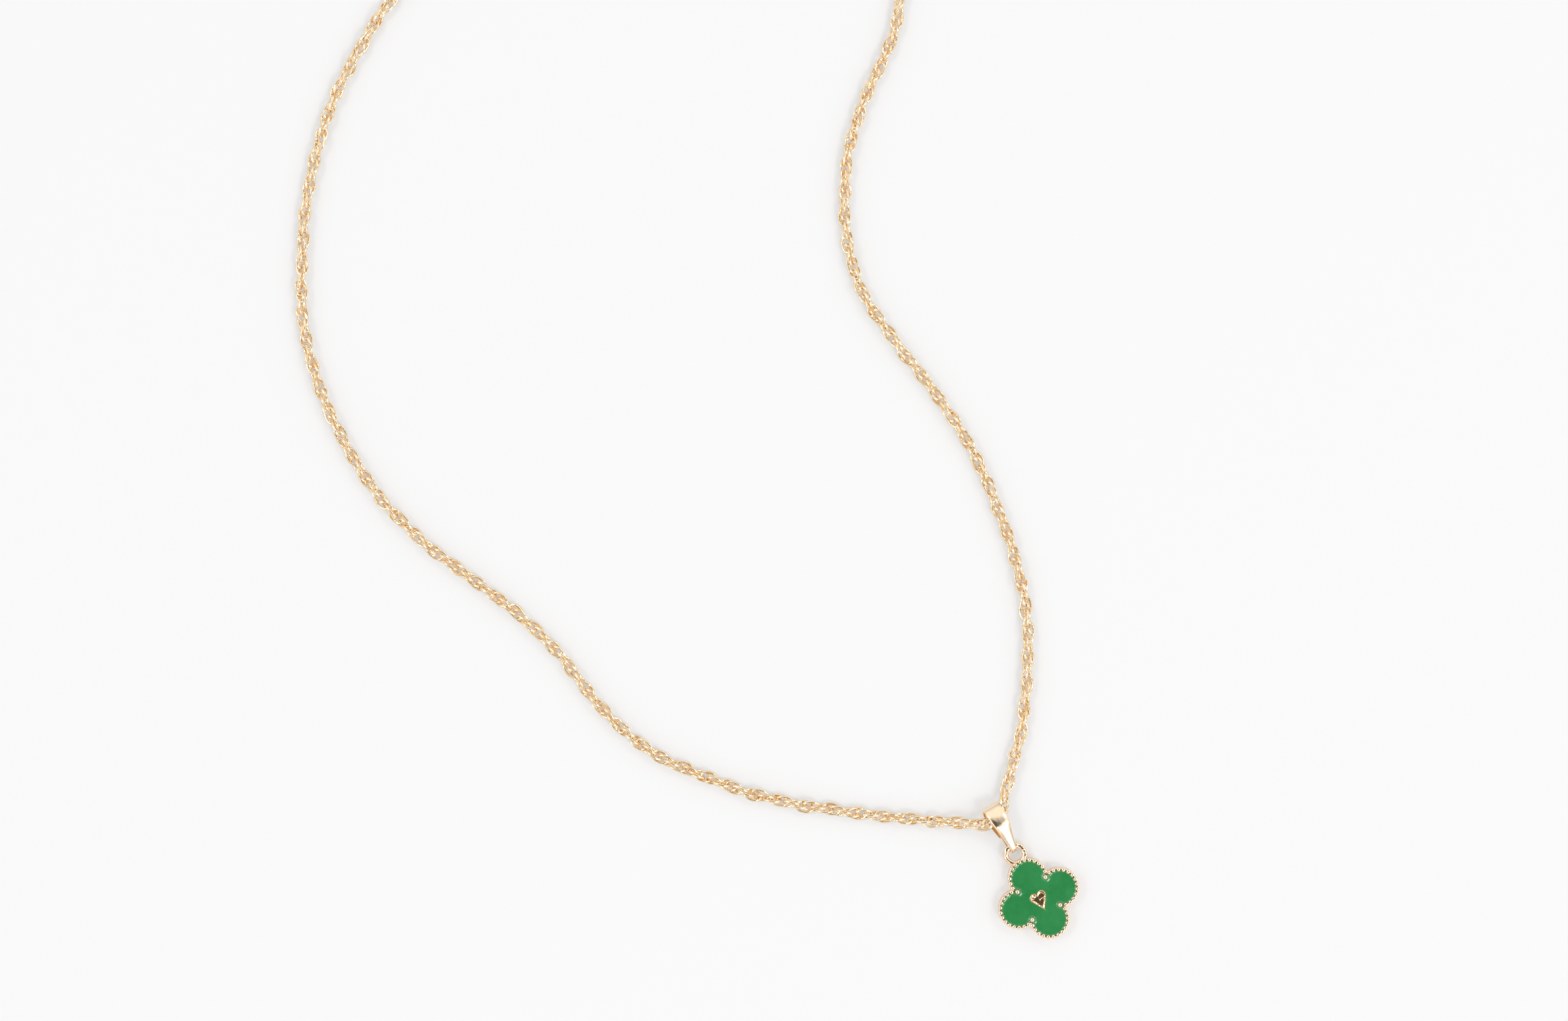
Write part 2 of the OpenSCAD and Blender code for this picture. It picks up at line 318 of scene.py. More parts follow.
# Shapes
def ball(diameter, rise, rows=9, columns=14):
    """Flattened ball: (r sin u cos v, r sin u sin v, rise r cos u), with u from 0 to pi."""
    u = np.linspace(0, math.pi, rows)[:, None]
    v = np.arange(columns)[None, :] * 2 * math.pi / columns
    r = diameter / 2
    out = r * np.sin(u)
    points = np.stack([out * np.cos(v), out * np.sin(v), rise * r * np.cos(u) + 0 * v], -1)
    return shell(points, wrap_columns=True)


def round_ring(radius, wire, around=72, sides=20):
    """Torus in the x-y plane: ((R + r cos v) cos u, (R + r cos v) sin u, r sin v)."""
    u = np.arange(around)[:, None] * 2 * math.pi / around
    v = np.arange(sides)[None, :] * 2 * math.pi / sides
    out = radius + wire / 2 * np.cos(v)
    points = np.stack([out * np.cos(u), out * np.sin(u), wire / 2 * np.sin(v) + 0 * u], -1)
    return shell(points, wrap_rows=True, wrap_columns=True)


def clover_line(inset, w):
    """Outline of the four leaves, drawn in by an inset. w runs from 0 to 4, one unit to a leaf.

    Each leaf is an arc (r sin a, LEAF_OFFSET + r cos a) of radius r = LEAF_R - inset, turned a
    quarter turn from the leaf before. Its half angle is 135 degrees less the arc cosine of
    corner / r, where it meets the next leaf's arc, and a is -cos(pi w) times that.
    """
    r = LEAF_R - inset
    half = math.radians(135) - math.acos(corner / r)
    leaf = np.floor(w)
    a = half * -np.cos(math.pi * (w - leaf))
    x, y = r * np.sin(a), LEAF_OFFSET + r * np.cos(a)
    c, s = np.cos(-leaf * math.pi / 2), np.sin(-leaf * math.pi / 2)
    return np.stack([x * c - y * s, x * s + y * c], -1)


def heart_line(count=HEART_STEPS):
    """Outline of the heart: an arc round each lobe, and a straight side down to the tip.

    The sides touch the lobes where the line from the tip is tangent to their circles.
    """
    lobe = np.array([HEART_W / 2 - LOBE_R, HEART_H - LOBE_R])
    far = np.hypot(*lobe)
    side = math.atan2(lobe[1], lobe[0]) - math.asin(LOBE_R / far)
    first = math.pi / 2 + math.asin(lobe[0] / LOBE_R)
    arc = np.linspace(first, side - math.pi / 2, count // 3)
    right = lobe + LOBE_R * np.stack([np.cos(arc), np.sin(arc)], -1)
    down = right[-1] * (1 - np.linspace(0, 1, count // 6 + 1)[1:, None])
    right = np.concatenate([right, down])
    left = right[-2:0:-1] * [-1, 1]
    return np.concatenate([right, left]) - [0, HEART_DROP]


def reach_about(line, centre, angles):
    """Distance from a centre to a closed line in each direction, each of which meets it once."""
    away = line - centre
    direction = np.unwrap(np.arctan2(away[:, 1], away[:, 0]))
    order = np.argsort(direction % (2 * math.pi))
    return np.interp(
        angles % (2 * math.pi),
        (direction % (2 * math.pi))[order],
        np.hypot(away[:, 0], away[:, 1])[order],
        period=2 * math.pi,
    )


def rounded(start, end, r, count=6):
    """Quarter circle of radius r from angle start to angle end in degrees, as (across, up)."""
    a = np.radians(np.linspace(start, end, count))
    return np.stack([r * np.cos(a), r * np.sin(a)], -1)


# Places that the shapes share
HEART_MIDDLE = np.array([0, -0.35])
LEAF_MIDDLES = LEAF_OFFSET * np.array([[0.0, 1], [1, 0], [0, -1], [-1, 0]])
FOUR_WAYS = np.array([[1.0, 1], [1, -1], [-1, -1], [-1, 1]])
bead_r = LEAF_R - BEAD_INSET
corner = LEAF_OFFSET / math.sqrt(2)
ball_at = (corner + math.sqrt((LEAF_R - RIM_W) ** 2 - corner**2)) / math.sqrt(2)
last_bead = 45 + math.degrees(math.asin((corner - (BEAD_D + BEAD_GAP) / 2) / bead_r))
bead_count = 1 + math.floor(2 * math.radians(last_bead) * bead_r / BEAD_PITCH)


def bead_middles():
    """Bead centres, evenly spaced along each leaf's arc, (r sin a, LEAF_OFFSET + r cos a)."""
    a = np.radians(np.linspace(-last_bead, last_bead, bead_count))
    x, y = bead_r * np.sin(a), LEAF_OFFSET + bead_r * np.cos(a)
    turn = np.arange(4)[:, None] * math.pi / 2
    c, s = np.cos(turn), np.sin(turn)
    return np.stack([x * c - y * s, x * s + y * c], -1).reshape(-1, 2)


def bead_frames():
    """The beads' own directions, stretched: x along the rim, y out from the leaf's centre, z up."""
    a = np.linspace(-last_bead, last_bead, bead_count) * math.pi / 180
    a = (a[None, :] - np.arange(4)[:, None] * math.pi / 2).ravel()
    c, s, o = np.cos(a), np.sin(a), 0 * a
    along, across = BEAD_ALONG * np.stack([c, -s, o], -1), BEAD_ACROSS * np.stack([s, c, o], -1)
    up = np.stack([o, o, o + 1], -1)
    return np.stack([along, across, up], 1)


def raised(flat, z):
    """Flat points lifted to a height."""
    return np.concatenate([flat, np.broadcast_to(z, flat.shape[:-1])[..., None]], -1)


def cast_body():
    """The clover's back, wall and rim: a profile of (inset, height) carried round the four leaves.

    It runs from the middle of the back, out and round the lower edge, up the wall, over the
    rounded ridge of the rim, down the inner wall and back to the middle of the cell's floor.
    """
    w = np.arange(4 * LEAF_STEPS) / LEAF_STEPS
    top = RIM_H - RIDGE_LOW
    low = rounded(270, 360, BACK_ROUND) * [-1, 1] + [BACK_ROUND, BACK_ROUND]
    high = rounded(0, 90, RIDGE_OUT, count=10) * [-1, 1]
    high = high + [RIDGE_OUT + WALL_DRAFT, top - RIDGE_OUT]
    inner = rounded(90, 180, RIDGE_IN) * [-1, 1] + [RIM_W - RIDGE_IN, top - RIDGE_IN]
    profile = np.concatenate([low, high, inner, [[RIM_W, WALL_MID], [RIM_W, BACK_T]]])
    rows = [raised(clover_line(inset, w), z) for inset, z in profile]
    back = [raised(clover_line(BACK_ROUND, w) * s, 0.0) for s in (0, 0.4, 0.8, 0.96)]
    floor = [raised(clover_line(RIM_W, w) * s, BACK_T) for s in (0.9, 0.4, 0)]
    return shell(np.stack(back + rows + floor), wrap_columns=True)


def heart_dents(flat, inside):
    """How far the heart's face lies off level: a crease, shallow hammered dents and one fine seam.

    The crease runs down from the notch, -a exp(-|x| / b), and dies out below the middle. The
    dents are a sum of sine waves across the face. The seam is a thin hump a exp(-(d / b)^2)
    about an arc, from the middle to the right side. All fade where inside goes to 0.
    """
    x, y = flat[..., 0], flat[..., 1]
    kept = 1 / (1 + np.exp(-(y - CREASE_END) / CREASE_FADE))
    crease = -CREASE_DEPTH * np.exp(-np.abs(x) / CREASE_WIDE) * kept
    dents = DENT_DEPTH * sum(np.sin(a * x + b * y + start) for a, b, start in DENT_WAVES)
    arc = SEAM_Y + SEAM_TILT * x + SEAM_BOW * np.sin(math.pi * x / SEAM_X)
    along = (x > 0) & (x < SEAM_X)
    seam = SEAM_HIGH * np.exp(-(((y - arc) / SEAM_WIDE) ** 2)) * along
    return (crease + dents + seam) * inside


def heart_body():
    """The raised heart: its outline drawn in towards its middle by a share, at each height.

    The edge is a narrow rounded lip. Inside it the face is hollow by HEART_HOLLOW times
    1 - (share / HEART_FACE)^4, with its dents on top.
    """
    line = heart_line()
    foot = [(share, HEART_FOOT) for share in (0, 0.6, 1)]
    lip = [(share, RIM_H - low) for share, low in HEART_LIP]
    rows = [raised(HEART_MIDDLE + (line - HEART_MIDDLE) * s, z) for s, z in foot + lip]
    share = np.linspace(HEART_FACE, 0, HEART_ROWS)[:, None]
    flat = HEART_MIDDLE + (line - HEART_MIDDLE) * share[..., None]
    inside = 1 - (share / HEART_FACE) ** 4
    face = raised(flat, RIM_H - HEART_HOLLOW * inside + heart_dents(flat, inside))
    face[-1] = face[-1].mean(0)
    return shell(np.concatenate([np.stack(rows), face]), wrap_columns=True)


def far_from(flat, spots):
    """Distances from each point to each spot, one more axis at the end."""
    return np.linalg.norm(flat[..., None, :] - spots, axis=-1)


def from_rim(flat):
    """Distance to the rim's inner wall: to the arc of the point's own leaf, or to a notch.

    The arc holds where the point's direction from the leaf's centre is within the arc's half
    angle, and elsewhere the nearest of the four notches.
    """
    leaf = np.argmax(flat @ LEAF_MIDDLES.T, -1)
    own = LEAF_MIDDLES[leaf]
    away = flat - own
    r = LEAF_R - RIM_W
    half = math.radians(135) - math.acos(corner / r)
    reach = np.linalg.norm(away, axis=-1)
    turn = np.arccos(np.clip((away * own).sum(-1) / (LEAF_OFFSET * reach + 1e-9), -1, 1))
    notch = (corner + math.sqrt(r**2 - corner**2)) / math.sqrt(2)
    to_notch = far_from(flat, notch * FOUR_WAYS).min(-1)
    return np.where(turn < half, np.clip(r - reach, 0, None), to_notch)


def creep(rise, distance):
    """How far the enamel has crept up at a distance d from metal: a exp(-d / b)."""
    return rise[0] * np.exp(-np.clip(distance, 0, None) / rise[1])


def enamel_height(flat):
    """Height of the enamel at each point: a level face that creeps up on the metal it meets.

    level + the sum of a exp(-d / b) over the distances d to the rim, the beads, the corner balls
    and the heart. The rim and the beads together add no more than CREEP_MOST.
    """
    rim = creep(CREEP_RIM, from_rim(flat))
    bead = creep(CREEP_BEAD, far_from(flat, bead_middles()) - BEAD_D / 2).sum(-1)
    corner_up = creep(CREEP_BALL, far_from(flat, ball_at * FOUR_WAYS) - CORNER_BALL_D / 2).sum(-1)
    heart_up = creep(CREEP_HEART, far_from(flat, heart_line()).min(-1))
    level = RIM_H - ENAMEL_DROP - ENAMEL_SAG
    return level + np.minimum(rim + bead, CREEP_MOST) + corner_up + heart_up


def enamel_body():
    """The enamel: rows from the heart out to the rim, at shares (1 - cos t) / 2 of the way.

    The grid then goes down the rim, in under the face and up the heart, so that it closes.
    """
    angles = np.arange(ENAMEL_STEPS) * 2 * math.pi / ENAMEL_STEPS
    rim = clover_line(RIM_W - INTO_RIM, np.arange(4 * FINE_STEPS) / FINE_STEPS)
    inner = reach_about(heart_line(FINE_STEPS), HEART_MIDDLE, angles) * INTO_HEART
    outer = reach_about(rim, HEART_MIDDLE, angles)
    share = (0.5 - 0.5 * np.cos(np.linspace(0, math.pi, ENAMEL_ROWS)))[:, None]
    reach = inner + (outer - inner) * share
    flat = HEART_MIDDLE + reach[..., None] * np.stack([np.cos(angles), np.sin(angles)], -1)
    top = raised(flat, enamel_height(flat))
    under = raised(flat[[-1, 0]], np.full(2, BACK_T + CELL_GAP)[:, None])
    return shell(np.concatenate([top, under]), wrap_rows=True, wrap_columns=True)


def soft_clip(value, low, high, soft):
    """A value held between low and high, with the two corners rounded off.

    low + s ln(1 + exp((v - low) / s)), and the same from high downwards.
    """
    up = low + soft * np.logaddexp(0, (value - low) / soft)
    return high - soft * np.logaddexp(0, (high - up) / soft)


def eased(start, start_way, end, end_way, count):
    """Cubic between two points, which leaves the one and meets the other along its way.

    (1 - t)^3 p + 3 (1 - t)^2 t (p + way) + 3 (1 - t) t^2 (q - way) + t^3 q.
    """
    t = np.linspace(0, 1, count, endpoint=False)[:, None]
    return (
        (1 - t) ** 3 * start + 3 * (1 - t) ** 2 * t * (start + start_way)
        + 3 * (1 - t) * t**2 * (end - end_way) + t**3 * end
    )


def bail_loop():
    """Middle line of the bail's strip from the side, as (y, z), with its outward directions.

    A circle round the ring's wire, a front flank that bends over slowly, two quarters of
    ellipses for the fold, the front one longer, and a nearly straight back flank.
    """
    middle, depth = FOLD_R - TIP_R, FOLD_R - STRIP_T / 2
    high, far, low = BAIL_REACH - FRONT_FOLD, BAIL_REACH + depth, BAIL_REACH - BACK_FOLD
    r = TIP_R - STRIP_T / 2
    front, behind = math.radians(FRONT_LEAVES), math.radians(BACK_LEAVES)
    start, end = (r * np.array([math.cos(a), math.sin(a)]) for a in (front, behind))
    start_way, end_way = (np.array([math.sin(a), -math.cos(a)]) for a in (front, behind))
    a = np.linspace(math.pi / 2, 0, FOLD_STEPS[0], endpoint=False)[:, None]
    upper = np.concatenate([high + (far - high) * np.cos(a), middle + depth * np.sin(a)], -1)
    a = np.linspace(0, -math.pi / 2, FOLD_STEPS[1], endpoint=False)[:, None]
    lower = np.concatenate([low + (far - low) * np.cos(a), middle + depth * np.sin(a)], -1)
    tip = np.linspace(behind, front - 2 * math.pi, TIP_STEPS, endpoint=False)[:, None]
    fold_end = np.array([low, middle - depth])
    (front_from, front_to), (back_from, back_to) = FRONT_HANDLES, BACK_HANDLES
    line = np.concatenate([
        eased(start, start_way * front_from, upper[0], np.array([front_to, 0]), FLANK_STEPS[0]),
        upper,
        lower,
        eased(fold_end, np.array([-back_from, 0]), end, end_way * back_to, FLANK_STEPS[1]),
        r * np.concatenate([np.cos(tip), np.sin(tip)], -1),
    ])
    along = np.roll(line, -1, 0) - np.roll(line, 1, 0)
    out = np.stack([-along[:, 1], along[:, 0]], -1)
    return line, out / np.linalg.norm(out, axis=1, keepdims=True)


def strip_section():
    """The strip cut across: from the middle of the outer face round to that of the inner face.

    This half is then mirrored. A point is (step, height, share): it lies at its share of the
    half width plus the step. The outer face ends in a bevel, and the sides end in small rounds
    below. Pairs of close points keep the edges crisp.
    """
    t = STRIP_T / 2
    corner_in = rounded(0, -90, STRIP_EDGE, count=4) + [-STRIP_EDGE, STRIP_EDGE - t]
    sides = [
        (0, t, 0), (0, t, 0.5), (0, t, 0.8),
        (-BEVEL - 0.03, t, 1), (-BEVEL, t - 0.004, 1), (-BEVEL + 0.03, t - 0.02, 1),
        (-0.05, t - BEVEL * 0.62, 1), (-0.015, t - BEVEL * 0.72, 1), (0, t - BEVEL * 0.85, 1),
        *[(x, z, 1) for x, z in corner_in], (0, -t, 0.8), (0, -t, 0.4), (0, -t, 0),
    ]
    right = np.array(sides, float)
    left = right[-2:0:-1] * [-1, 1, -1]
    both = np.concatenate([right, left])
    return both[:, :2], both[:, 2]


def bail_strip():
    """The bail: the strip's section carried round the loop, as wide at each place as the strip.

    Its half width grows in line with y from the narrow end to the fold, both corners rounded.
    The back leaf narrows to a tongue below its round shoulder. The outer face is a little
    crowned: it falls by CROWN times the square of the share of the half width.
    """
    line, out = bail_loop()
    y = line[:, 0]
    half = soft_clip(HALF_AT_RING + HALF_PER_MM * y, BAIL_TIP_W / 2, BAIL_W / 2, HALF_SOFT)
    behind = np.clip(-out[:, 1] * BACK_GAIN, 0, 1)
    half = np.maximum(half - BACK_NARROWER * behind, BAIL_TIP_W / 2)
    shoulder_r = HALF_AT_RING + HALF_PER_MM * SHOULDER_REACH - BACK_NARROWER
    below = np.clip(SHOULDER_REACH - y, 0, shoulder_r)
    round_end = np.sqrt(np.maximum(shoulder_r**2 - below**2, 0))
    tongue = np.maximum(round_end, BAIL_TIP_W / 2)
    half = np.where(y < SHOULDER_REACH, half + (np.minimum(tongue, half) - half) * behind, half)
    section, wide = strip_section()
    x = half[:, None] * wide + section[:, 0]
    lift = section[:, 1] - CROWN * wide**2 * (section[:, 1] > 0) * np.abs(out[:, 1:2])
    points = np.stack([
        x,
        line[:, 0][:, None] + lift * out[:, 0][:, None],
        line[:, 1][:, None] + lift * out[:, 1][:, None],
    ], -1)
    return shell(points, wrap_rows=True, wrap_columns=True)


# Chain
def smooth_line(points, steps=ROUTE_STEPS):
    """The smooth curve through the route, at evenly spaced shares of each stretch.

    b + t/2 (c - a) + t^2/2 (2a - 5b + 4c - d) + t^3/2 (3b - 3c + d - a), ends held.
    """
    t = np.linspace(0, 1, steps, endpoint=False)[None, :, None]
    ends = np.concatenate([points[:1], points, points[-1:]])
    a, b, c, d = (ends[k:k + len(points) - 1, None, :] for k in range(4))
    curve = b + t / 2 * (c - a) + t**2 / 2 * (2 * a - 5 * b + 4 * c - d)
    curve = curve + t**3 / 2 * (3 * b - 3 * c + d - a)
    return np.concatenate([curve.reshape(-1, 3), points[-1:]])


def unit(v):
    """Vectors made one long."""
    return v / np.linalg.norm(v, axis=-1, keepdims=True)


def wandering(rng, count, step, span):
    """Slow random drift between -span and span: a value every step links, t^2 (3 - 2t) between."""
    knots = rng.uniform(-span, span, count // step + 3)
    at = np.arange(count) / step
    k = np.floor(at).astype(int)
    t = at - k
    t = t * t * (3 - 2 * t)
    return knots[k] * (1 - t) + knots[k + 1] * t


def link():
    """One link: its wire's circle carried round an oval, |x/a|^p + |y/b|^p = 1."""
    p = LINK_SQUARE
    t = (np.arange(LINK_SEGMENTS) * 2 + 1) * math.pi / LINK_SEGMENTS
    a, b, r = (LINK_L - LINK_WIRE) / 2, (LINK_W - LINK_WIRE) / 2, LINK_WIRE / 2
    c, s = np.cos(t), np.sin(t)
    x, y = a * np.sign(c) * np.abs(c) ** (2 / p), b * np.sign(s) * np.abs(s) ** (2 / p)
    out_x = np.sign(c) * np.abs(x / a) ** (p - 1) / a
    out_y = np.sign(s) * np.abs(y / b) ** (p - 1) / b
    out = unit(np.stack([out_x, out_y], -1))
    v = np.arange(LINK_SIDES)[None, :] * 2 * math.pi / LINK_SIDES
    across = r * np.cos(v)
    points = np.stack([
        x[:, None] + across * out[:, :1],
        y[:, None] + across * out[:, 1:],
        r * np.sin(v) + 0 * x[:, None],
    ], -1)
    return shell(points, wrap_rows=True, wrap_columns=True)


# Where the clasp lies between the chain's two ends
end_shift = (END_RING_R - END_RING_WIRE / 2 - CLASP_TUBE_D / 2 - CLASP_GAP) / math.sqrt(2)
clasp_high = END_RING_R + END_RING_WIRE / 2 - end_shift
clasp_back = CLASP_R + end_shift + END_RING_R + END_RING_WIRE / 2
slope = math.radians(CLASP_SLOPE)
clasp_ahead = (CLASP_R + EYE_X + EYE_R + EYE_WIRE / 2) * math.cos(slope) - CLASP_R
clasp_way = unit(ROUTE[0] - ROUTE[-1])
clasp_spare = np.linalg.norm(ROUTE[0] - ROUTE[-1]) - clasp_back - clasp_ahead
clasp_at = ROUTE[-1] + clasp_way * (clasp_spare / 2 + clasp_back)


def on_clasp(points):
    """From the clasp's own frame, with x from the end ring to the eye, to where it lies."""
    return turned(points, 2, math.degrees(math.atan2(clasp_way[1], clasp_way[0]))) + clasp_at


def sloped(points):
    """From the level clasp to the clasp that leans on the end ring, with its eye lower."""
    return on_clasp(turned(points + [CLASP_R, 0, 0], 1, CLASP_SLOPE) + [-CLASP_R, 0, clasp_high])


def upright(points):
    """From the level end ring to where it stands on edge, round the clasp's tube."""
    middle = [-CLASP_R - end_shift, 0, END_RING_R + END_RING_WIRE / 2]
    return on_clasp(turned(points, 0, 90) + middle)


def chain_links():
    """Centres and frames of all links, and which of them lie on the right side of the bail.

    They follow the chain at an even pitch. Each is turned about the chain by about LINK_TWIST
    degrees more than the one before it, and its long axis leans a little out of line, so that
    it passes through its two neighbours on either side. The first hangs in the clasp's eye and
    the last in the end ring. Small random strays keep the row from looking ruled.
    """
    rng = np.random.default_rng(STRAY_SEED)
    curve = smooth_line(ROUTE)
    curve[:, 2] = np.maximum(curve[:, 2], 0) + CHAIN_H
    half = (LINK_L - LINK_WIRE) / 2
    eye_x = -CLASP_R + (CLASP_R + EYE_X + EYE_R) * math.cos(slope)
    eye_z = clasp_high - (CLASP_R + EYE_X + EYE_R) * math.sin(slope)
    first = clasp_at + clasp_way * (eye_x - EYE_WIRE / 2 - LINK_WIRE / 2 - EYE_PLAY + half)
    last = clasp_at - clasp_way * (CLASP_R + end_shift + END_REACH + half)
    first[2], last[2] = eye_z + EYE_LIFT, CHAIN_H
    curve = np.concatenate([[first], curve[1:-1], [last]])
    length = np.concatenate([[0], np.cumsum(np.linalg.norm(np.diff(curve, axis=0), axis=1))])
    count = round(length[-1] / LINK_PITCH) + 1
    at = np.linspace(0, length[-1], count)
    at[2:-2] += rng.uniform(-STRAY_ALONG, STRAY_ALONG, count - 4)
    centre, before, after = (
        np.stack([np.interp(at + step, length, curve[:, k]) for k in range(3)], -1)
        for step in (0, -AHEAD_SPAN, AHEAD_SPAN)
    )
    ahead = unit(after - before)
    side = unit(np.stack([ahead[:, 1], -ahead[:, 0], 0 * at], -1))
    up = np.cross(side, ahead)
    wander = wandering(rng, count, WANDER_LINKS, TWIST_WANDER)
    twist = np.cumsum(LINK_TWIST + wander + rng.uniform(-TWIST_STRAY, TWIST_STRAY, count))
    twist = twist - twist[0] + 90
    wanted = round(twist[-1] / 180) * 180
    twist += (wanted - twist[-1]) * np.linspace(0, 1, count)
    twist = np.radians(twist)[:, None]
    wide = np.cos(twist) * side + np.sin(twist) * up
    normal = np.cross(ahead, wide)
    lean = np.radians(LINK_LEAN + rng.uniform(-LEAN_STRAY, LEAN_STRAY, count))[:, None]
    lean[[0, -1]] = 0
    tip = np.radians(rng.uniform(-TIP_STRAY, TIP_STRAY, count))[:, None]
    tip[[0, -1]] = 0
    x = np.cos(lean) * ahead + np.sin(lean) * normal
    z = np.cos(lean) * normal - np.sin(lean) * ahead
    x, y = np.cos(tip) * x + np.sin(tip) * wide, np.cos(tip) * wide - np.sin(tip) * x
    loose = rng.uniform(0, 1, count)
    flat = np.abs(np.cos(twist[:, 0])) > FLAT_ENOUGH
    far_out, near_out = rng.uniform(*LOOSE_OUT, count), rng.uniform(*TIGHT_OUT, count)
    out = np.where(flat & (loose > LOOSE_FROM), far_out, near_out)
    out *= np.where(rng.uniform(0, 1, count) > 0.5, 1, -1)
    out[[0, 1, -2, -1]] = 0
    centre = centre + out[:, None] * y
    reach = np.hypot((LINK_L - LINK_WIRE) / 2 * x[:, 2], (LINK_W - LINK_WIRE) / 2 * y[:, 2])
    centre[:, 2] += np.maximum(LINK_WIRE / 2 + reach * FLOOR_MARGIN - centre[:, 2], 0)
    stop = length[BAIL_STOP * ROUTE_STEPS]
    return centre, np.stack([x, y, z], 1), at < stop


# Finishes
class Value:
    """An output in a finish. Sums, products and powers of it add Math nodes."""

    def __init__(self, finish, socket):
        self.finish, self.socket = finish, socket

    def _math(self, operation, first, second):
        return self.finish.node("ShaderNodeMath", {"operation": operation}, {0: first, 1: second})

    def __add__(self, other):
        return self._math("ADD", self, other)

    def __radd__(self, other):
        return self._math("ADD", other, self)

    def __sub__(self, other):
        return self._math("SUBTRACT", self, other)

    def __rsub__(self, other):
        return self._math("SUBTRACT", other, self)

    def __mul__(self, other):
        return self._math("MULTIPLY", self, other)

    def __rmul__(self, other):
        return self._math("MULTIPLY", other, self)

    def __pow__(self, other):
        return self._math("POWER", self, other)

    def held(self, low, high):
        """The value held between low and high."""
        return self._math("MAXIMUM", self._math("MINIMUM", self, high), low)


class Nodes:
    """A node tree that is written as expressions."""

    def __init__(self, data):
        self.data = data
        self.data.use_nodes = True
        self.nodes = self.data.node_tree.nodes
        self.links = self.data.node_tree.links

    def node(self, kind, settings=None, inputs=None, out=0):
        """Adds a node: its settings first, a ramp's stops among them, then its inputs."""
        made = self.nodes.new(kind)
        for key, value in (settings or {}).items():
            if key == "stops":
                ramp = made.color_ramp
                ramp.elements[0].position, ramp.elements[0].color = value[0]
                ramp.elements[1].position, ramp.elements[1].color = value[-1]
                for position, color in value[1:-1]:
                    ramp.elements.new(position).color = color
            else:
                setattr(made, key, value)
        for key, value in (inputs or {}).items():
            self.feed(made.inputs[key], value)
        return Value(self, made.outputs[out])

    def step(self, value, start, end):
        """0 up to start, 1 from end, and a smooth rise between them."""
        return self.node("ShaderNodeMapRange", {"interpolation_type": "SMOOTHSTEP"}, {
            "Value": value, "From Min": start, "From Max": end
        })

    def feed(self, socket, value):
        """Gives a socket a constant, or links an output to it."""
        if isinstance(value, Value):
            self.links.new(value.socket, socket)
        else:
            socket.default_value = value


class Finish(Nodes):
    """A material. Its constants go straight onto the shader's sockets."""

    def __init__(self, name, **constants):
        super().__init__(bpy.data.materials.new(name))
        self.shader = self.nodes["Principled BSDF"]
        for socket, value in constants.items():
            self.shader.inputs[socket.replace("_", " ")].default_value = value
        self.place = self.node("ShaderNodeTexCoord", out="Object")

    def speckle(self, per_mm, detail=3, rough=0.5, stretch=(1, 1, 1), turn=0, seed=0):
        """Noise of so many cells to the millimetre, from 0 to 1."""
        scale = [1000 * per_mm * s for s in stretch]
        spot = self.node("ShaderNodeMapping", {}, {
            "Vector": self.place,
            "Location": (seed, seed * 0.7, 0),
            "Rotation": (0, 0, math.radians(turn)),
            "Scale": scale,
        })
        return self.node("ShaderNodeTexNoise", {}, {
            "Vector": spot, "Scale": 1.0, "Detail": detail, "Roughness": rough
        })

    def blend(self, share, first, second):
        """Mix of two colours, which are the node's inputs 6 and 7. Its output 2 has the result."""
        made = self.node("ShaderNodeMix", {"data_type": "RGBA"}, {0: share}, out=2)
        mix = made.socket.node
        self.feed(mix.inputs[6], first if isinstance(first, Value) else (*first, 1))
        self.feed(mix.inputs[7], second if isinstance(second, Value) else (*second, 1))
        return made

    def shine(self, **inputs):
        """Feeds the shader's sockets with what changes over the surface."""
        for socket, value in inputs.items():
            self.feed(self.shader.inputs[socket.replace("_", " ")], value)
        return self.data

    def relief(self, height, depth_mm, strength=1.0, under=None):
        """Bump of so many millimetres."""
        made = {"Strength": strength, "Distance": depth_mm * 0.001, "Height": height}
        if under is not None:
            made["Normal"] = under
        return self.node("ShaderNodeBump", {}, made)


def gold(name, light, deep, rough, wave, grain, per_mm=1.6, patches=0.45, drift_gain=1.6):
    """Polished plated metal: its tone drifts between a light and a deep one.

    wave is the depth of the slow unevenness of the casting, with per_mm humps to the millimetre,
    and grain is the depth of the fine polish marks. The tone has so many patches to the
    millimetre, and drift_gain says how far they go towards the light and the deep tone.
    """
    f = Finish(name, Metallic=1.0)
    drift = f.speckle(patches, detail=2)
    fine = f.speckle(9, detail=4, rough=0.6, seed=3)
    marks = f.speckle(6, detail=3, rough=0.6, stretch=(1, 0.08, 1), turn=35, seed=9)
    tone = f.blend(((drift - 0.5) * drift_gain + 0.5).held(0, 1), light, deep)
    uneven = f.relief(f.speckle(per_mm, detail=0.5, seed=5), wave)
    polish = f.relief(fine * 0.6 + marks * 0.4, grain, under=uneven)
    roughness = rough + (fine - 0.5) * 0.1 + (drift - 0.5) * 0.08
    return f.shine(Base_Color=tone, Roughness=roughness, Normal=polish)


